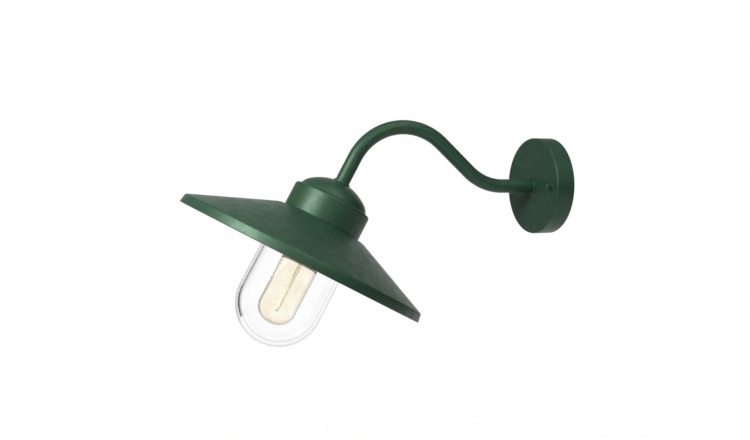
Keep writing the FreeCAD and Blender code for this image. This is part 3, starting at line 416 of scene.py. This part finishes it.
finishes["green_yellow_insulation"] = earthFinish("greenYellowInsulation", earthLook)
for node in nodes.values():
    slotName = node.data.materials[0].name.split(".")[0]
    node.data.materials[0] = finishes[slotName]
print("finishes ready:", len(finishes))


# Gives a new piece its finish, looked up by slot name unless one is given, puts it under its body,
# and hides the CAD node that it stands for
def dress(piece, body, slotName, nodeName, finish=None):
    piece.data.materials.append(finish or finishes[slotName])
    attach(piece, body)
    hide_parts(nodeName)
    print("piece made:", piece.name, len(piece.data.polygons), "faces")


# Millimetres down from the hood's top and out from the lamp's axis, and the slope in degrees
shadeLook = dict(topDepth=51.0, sheet=1.5, sheetEase=0.02, holeRadius=28.0, crownRadius=53.4,
                 crownBend=20.0, slope=23.2, rimRadius=150.0, lipFlare=1.5, lipHeight=10.8,
                 cornerBend=3.0, cornerDrop=0.9, steps=240, insideFrom=0.45,
                 insideColour=(0.74, 0.74, 0.71))


# The inside is where a point's normal leans down the lamp or in to its axis: the two leans add up
# to more than insideFrom
def makeShade(look):
    half = look["sheet"] / 2
    coneEnd = look["rimRadius"] - look["lipFlare"]
    coneRun = coneEnd - look["crownRadius"]
    coneDepth = look["topDepth"] + coneRun * math.tan(math.radians(look["slope"]))
    middle = bentLine([(look["holeRadius"] + half, look["topDepth"] + half),
                       (look["crownRadius"], look["topDepth"] + half, look["crownBend"]),
                       (coneEnd - half, coneDepth + look["cornerDrop"], look["cornerBend"] - half),
                       (look["rimRadius"] - half, coneDepth + look["lipHeight"] - half)])
    profile = sheetLoop(middle, look["sheet"] - look["sheetEase"])
    piece = turned("shade_spinning", profile, look["steps"], True)
    points = np.empty(len(piece.data.vertices) * 3)
    normals = np.empty(len(piece.data.vertices) * 3)
    piece.data.vertices.foreach_get("co", points)
    piece.data.vertices.foreach_get("normal", normals)
    normals = normals.reshape(-1, 3)
    radial = points.reshape(-1, 3) - lampTop
    radial -= (radial @ lampDown)[:, None] * lampDown
    inward = -np.einsum("ij,ij->i", radial, normals) / np.linalg.norm(radial, axis=1)
    mask = ((normals @ lampDown + inward) > look["insideFrom"]).astype(np.float32)
    piece.data.attributes.new("inside", "FLOAT", "POINT").data.foreach_set("value", mask)
    return piece


shadePaint = skinFinish("shadePaint", dict(greenPaint, insideColour=shadeLook["insideColour"]))
dress(makeShade(shadeLook), "fixture", "green_paint", "shade", shadePaint)

# Millimetres along the tube from the wall, and the angles of its rise and crest in degrees
armLook = dict(radius=8.5, wall=2.0, start=14.5, wallRun=50.5, riseRadius=67.0, riseAngle=42.5,
               climb=50.5, crestRadius=70.0, crestAngle=104.0, drop=33.8, intoHood=11.5,
               fineStep=0.25, stepsPerRing=6, sides=64)


# Centre line by its heading, which is level, rises, climbs, turns over and drops as length runs on:
# place = start + the running sum of (-cos(heading), sin(heading)) * step, in the plane x = 0
def armLine(look):
    rise, crest = math.radians(look["riseAngle"]), math.radians(look["crestAngle"])
    lengths = np.cumsum([0, look["wallRun"], look["riseRadius"] * rise, look["climb"],
                         look["crestRadius"] * crest, look["drop"] + look["intoHood"]])
    headings = [0, 0, rise, rise, rise - crest, rise - crest]
    count = int(round(lengths[-1] / look["fineStep"]))
    step = lengths[-1] / count
    heading = np.interp((np.arange(count) + 0.5) * lengths[-1] / count, lengths, headings)
    steps = np.c_[np.zeros(count), -np.cos(heading), np.sin(heading)] * step
    places = np.vstack([np.zeros(3), np.cumsum(steps, axis=0)])
    line = np.array([0, -look["start"], 0]) + places
    return line[::look["stepsPerRing"]] * millimetre


# The tube's skin runs out along the line at its outer radius and back at its bore, as one closed
# surface: point = line + radius * ring
def makeArm(look):
    line = armLine(look)
    ring = ringsAlong(line, lampRight, look["sides"])
    outer = line[:, None] + ring * look["radius"] * millimetre
    bore = line[:, None] + ring * (look["radius"] - look["wall"]) * millimetre
    return gridMesh("arm_bent_tube", np.concatenate([outer, bore[::-1]]), True)


dress(makeArm(armLook), "fixture", "green_paint", "arm_tube")

# Millimetres down from the hood's top and out from the lamp's axis
jarLook = dict(radius=50.0, wall=4.0, shoulderDepth=76.0, endDepth=202.7, shoulderBend=4.0,
               neckRadius=42.2, neckWall=4.2, neckBend=0.6, lipDepth=58.0, lipBend=1.4,
               baseExtra=0.8, arcSteps=12, steps=192)


# The jar's profile goes down its bore, round the neck's lip and back outside, from pole to pole
def makeJar(look):
    radius, shoulder, bend = look["radius"], look["shoulderDepth"], look["shoulderBend"]
    neck, lip, lipBend = look["neckRadius"], look["lipDepth"], look["lipBend"]
    neckBore = neck - look["neckWall"]
    bore = radius - look["wall"]
    floor = look["endDepth"] - look["wall"] - look["baseExtra"]
    profile = bentLine([
        (0, floor), (bore, floor, bore), (bore, shoulder + look["wall"], bend),
        (neckBore, shoulder, bend), (neckBore, lip, lipBend), (neck, lip, lipBend),
        (neck, shoulder, look["neckBend"]), (radius, shoulder, bend),
        (radius, look["endDepth"], radius), (0, look["endDepth"])], look["arcSteps"])
    profile[[0, -1], 0] = 0
    return turned("jar_pressed_glass", profile, look["steps"], False)


dress(makeJar(jarLook), "jar", "clear_glass", "glass_jar")

# Millimetres down from the hood's top and out from the lamp's axis
bulbLook = dict(radius=22.5, glass=0.9, neckRadius=12.3, stemTop=86.2, shoulderDepth=99.15,
                endDepth=178.7, shoulderBend=8.0, endBend=20.0, arcSteps=12, steps=128)


# The bulb's profile goes down its inside, round the neck's end and back outside, from pole to pole
def makeEnvelope(look):
    glass, radius, neck = look["glass"], look["radius"], look["neckRadius"]
    shoulder, end, bend = look["shoulderDepth"], look["endDepth"], look["shoulderBend"]
    profile = bentLine([
        (0, end - glass), (radius - glass, end - glass, look["endBend"] - glass),
        (radius - glass, shoulder + glass, bend - glass),
        (neck - glass, shoulder + glass, 2 * glass), (neck - glass, look["stemTop"]),
        (neck, look["stemTop"]), (neck, shoulder, glass), (radius, shoulder, bend),
        (radius, end, look["endBend"]), (0, end)], look["arcSteps"])
    return turned("bulb_blown_glass", profile, look["steps"], False)


dress(makeEnvelope(bulbLook), "bulb", "bulb_glass", "bulb_envelope")

filamentLook = dict(top=104.2, end=162.2, radius=0.75, legSpacing=2.8, beadLength=2.2,
                    beadHeight=0.07, rings=560, sides=14)


# Hairpin strand, down one leg, round the bend and up the other: point = line + radius * ring, with
# faint beads along it, radius = strand's radius + beadHeight * (cos(2 pi length / beadLength) - 1)
def makeFilament(look):
    half = look["legSpacing"] / 2
    legLength = look["end"] - half - look["top"]
    bendLength = math.pi * half
    length = np.linspace(0, 2 * legLength + bendLength, look["rings"])
    turn = np.clip((length - legLength) / half, 0, math.pi)
    across = -half * np.cos(turn)
    lastLeg = np.maximum(length - legLength - bendLength, 0)
    down = look["top"] + np.minimum(length, legLength) + half * np.sin(turn) - lastLeg
    beads = np.cos(2 * math.pi * length / look["beadLength"]) - 1
    radius = (look["radius"] + look["beadHeight"] * beads) * millimetre
    line = atLamp(across, 0 * across, down)
    grid = line[:, None] + radius[:, None, None] * ringsAlong(line, lampBack, look["sides"])
    poles = [np.repeat(line[[end], None], look["sides"], 1) for end in (0, -1)]
    return gridMesh("bulb_hairpin_filament", np.concatenate([poles[0], grid, poles[1]]), False)


dress(makeFilament(filamentLook), "bulb", "filament", "bulb_filament")

floorLook = dict(height=-1.0, radius=2.4, rows=5, sides=96, colour=(0.80, 0.80, 0.79),
                 roughness=0.9, glow=0.94, fadeFrom=0.8)


# Pale floor that takes the shadow, shows white to the camera, in reflections and through glass, and
# fades into the white room at its rim. Its points are radius * (cos(angle), sin(angle)), with a row
# of radii from 0 to its rim
def makeFloor(look):
    rows, sides = look["rows"], look["sides"]
    radii = np.linspace(0, look["radius"], rows)
    angles = np.linspace(0, 2 * math.pi, sides, endpoint=False)
    points = np.stack([np.outer(radii, np.cos(angles)), np.outer(radii, np.sin(angles)),
                       np.full((rows, sides), look["height"])], axis=-1)
    floor = gridMesh("studio_floor", points, False)
    material, tree, shader = newMaterial("paleFloor")
    path = tree.nodes.new("ShaderNodeLightPath")
    seen = addMath(tree, "MAXIMUM", path.outputs["Is Camera Ray"], path.outputs["Is Glossy Ray"])
    seen = addMath(tree, "MAXIMUM", seen, path.outputs["Is Transmission Ray"])
    reach = tree.nodes.new("ShaderNodeVectorMath")
    reach.operation = "LENGTH"
    place = tree.nodes.new("ShaderNodeTexCoord").outputs["Object"]
    tree.links.new(place, reach.inputs[0])
    fade = addRange(tree, reach.outputs["Value"], look["fadeFrom"], look["radius"], look["glow"], 1.0)
    shader.inputs["Base Color"].default_value = (*look["colour"], 1)
    shader.inputs["Roughness"].default_value = look["roughness"]
    glow = tree.nodes.new("ShaderNodeEmission")
    blend = tree.nodes.new("ShaderNodeMixShader")
    tree.links.new(addMath(tree, "MULTIPLY", seen, fade), blend.inputs["Fac"])
    tree.links.new(shader.outputs["BSDF"], blend.inputs[1])
    tree.links.new(glow.outputs["Emission"], blend.inputs[2])
    tree.links.new(blend.outputs["Shader"], tree.nodes["Material Output"].inputs["Surface"])
    floor.data.materials.append(material)


roomLook = dict(grey=0.11, left=(-0.315, -0.949, 0.0), cardEdges=(0.58, 0.70, 0.84, 0.92), card=0.04,
                ahead=(-0.947, 0.316, -0.061), backdropEdges=(0.70, 0.97), gloss=(0.14, 1.0))


# How far a ray's direction agrees with an axis: their dot product
def alongAxis(tree, axis):
    product = tree.nodes.new("ShaderNodeVectorMath")
    product.operation = "DOT_PRODUCT"
    product.inputs[1].default_value = axis
    direction = tree.nodes.new("ShaderNodeTexCoord").outputs["Generated"]
    tree.links.new(direction, product.inputs[0])
    return product.outputs["Value"]


# Room: white to the camera and through glass, and a soft grey for the light it gives. Reflections
# see a white backdrop ahead and a dim room elsewhere. A dark card to the left, a ring of directions
# seen only through glass, draws the jar's edge
def makeRoom(look):
    world = bpy.context.scene.world or bpy.data.worlds.new("studioRoom")
    bpy.context.scene.world = world
    world.use_nodes = True
    tree = world.node_tree
    path = tree.nodes.new("ShaderNodeLightPath")
    toLeft = alongAxis(tree, look["left"])
    start, full, thin, end = look["cardEdges"]
    before = addRange(tree, toLeft, start, full, 1.0, look["card"])
    after = addRange(tree, toLeft, thin, end, look["card"], 1.0)
    card = addMath(tree, "MAXIMUM", before, after)
    backdrop = addRange(tree, alongAxis(tree, look["ahead"]), *look["backdropEdges"], *look["gloss"])
    seen = mixColours(tree, path.outputs["Is Glossy Ray"], (look["grey"],) * 3, backdrop)
    seen = mixColours(tree, path.outputs["Is Transmission Ray"], seen, card)
    seen = mixColours(tree, path.outputs["Is Camera Ray"], seen, (1.0, 1.0, 1.0))
    tree.links.new(seen, tree.nodes["Background"].inputs["Color"])


# Place and aim in metres. The lights are out of sight, and glass shows them only as reflections
lampMiddle = tuple(lampTop + 0.06 * lampDown)
lightLooks = dict(
    keySoftbox=dict(place=(0.38, -0.88, 0.38), aim=lampMiddle, size=(0.40, 0.40), watts=9.0),
    topSoftbox=dict(place=(0.20, 0.05, 1.05), aim=(0, -0.15, 0.05), size=(0.8, 0.4), watts=2.0),
    sideFill=dict(place=(1.10, 0.06, 0.85), aim=(0, -0.15, 0), size=(0.8, 0.8), watts=6.0))


def addLight(name, look):
    lamp = bpy.data.lights.new(name, "AREA")
    lamp.shape = "RECTANGLE"
    lamp.size, lamp.size_y = look["size"]
    lamp.energy = look["watts"]
    light = bpy.data.objects.new(name, lamp)
    away = Vector(look["place"]) - Vector(look["aim"])
    light.rotation_euler = away.to_track_quat("Z", "Y").to_euler()
    light.location = look["place"]
    light.visible_camera = False
    light.visible_transmission = False
    bpy.context.scene.collection.objects.link(light)


makeFloor(floorLook)
makeRoom(roomLook)
for lightName, lightLook in lightLooks.items():
    addLight(lightName, lightLook)
print("floor, room and lights ready:", len(lightLooks), "lights")

# Place in metres, turn about the vertical and tilt in degrees, focal length in pixels of the frame
cameraLook = dict(place=(0.80167, -0.49789, 0.01232), yaw=71.62, pitch=3.49, focal=719.19,
                  frameWidth=750, sensorWidth=36.0, clip=(0.01, 50.0))


def makeCamera(look):
    yaw, pitch = math.radians(look["yaw"]), math.radians(look["pitch"])
    back = np.array([math.sin(yaw) * math.cos(pitch), -math.cos(yaw) * math.cos(pitch),
                     math.sin(pitch)])
    right = np.array([math.cos(yaw), math.sin(yaw), 0])
    up = np.cross(back, right)
    data = bpy.data.cameras.new("viewpoint")
    data.sensor_width = look["sensorWidth"]
    data.lens = look["focal"] / look["frameWidth"] * data.sensor_width
    data.clip_start, data.clip_end = look["clip"]
    camera = bpy.data.objects.new("viewpoint", data)
    turn = np.c_[right, up, back]
    rows = [(*row, place) for row, place in zip(turn, look["place"])]
    camera.matrix_world = Matrix(rows + [(0, 0, 0, 1)])
    bpy.context.scene.collection.objects.link(camera)
    bpy.context.scene.camera = camera


makeCamera(cameraLook)
bpy.context.scene.view_settings.view_transform = "Standard"
bpy.context.view_layer.update()
print("camera ready")
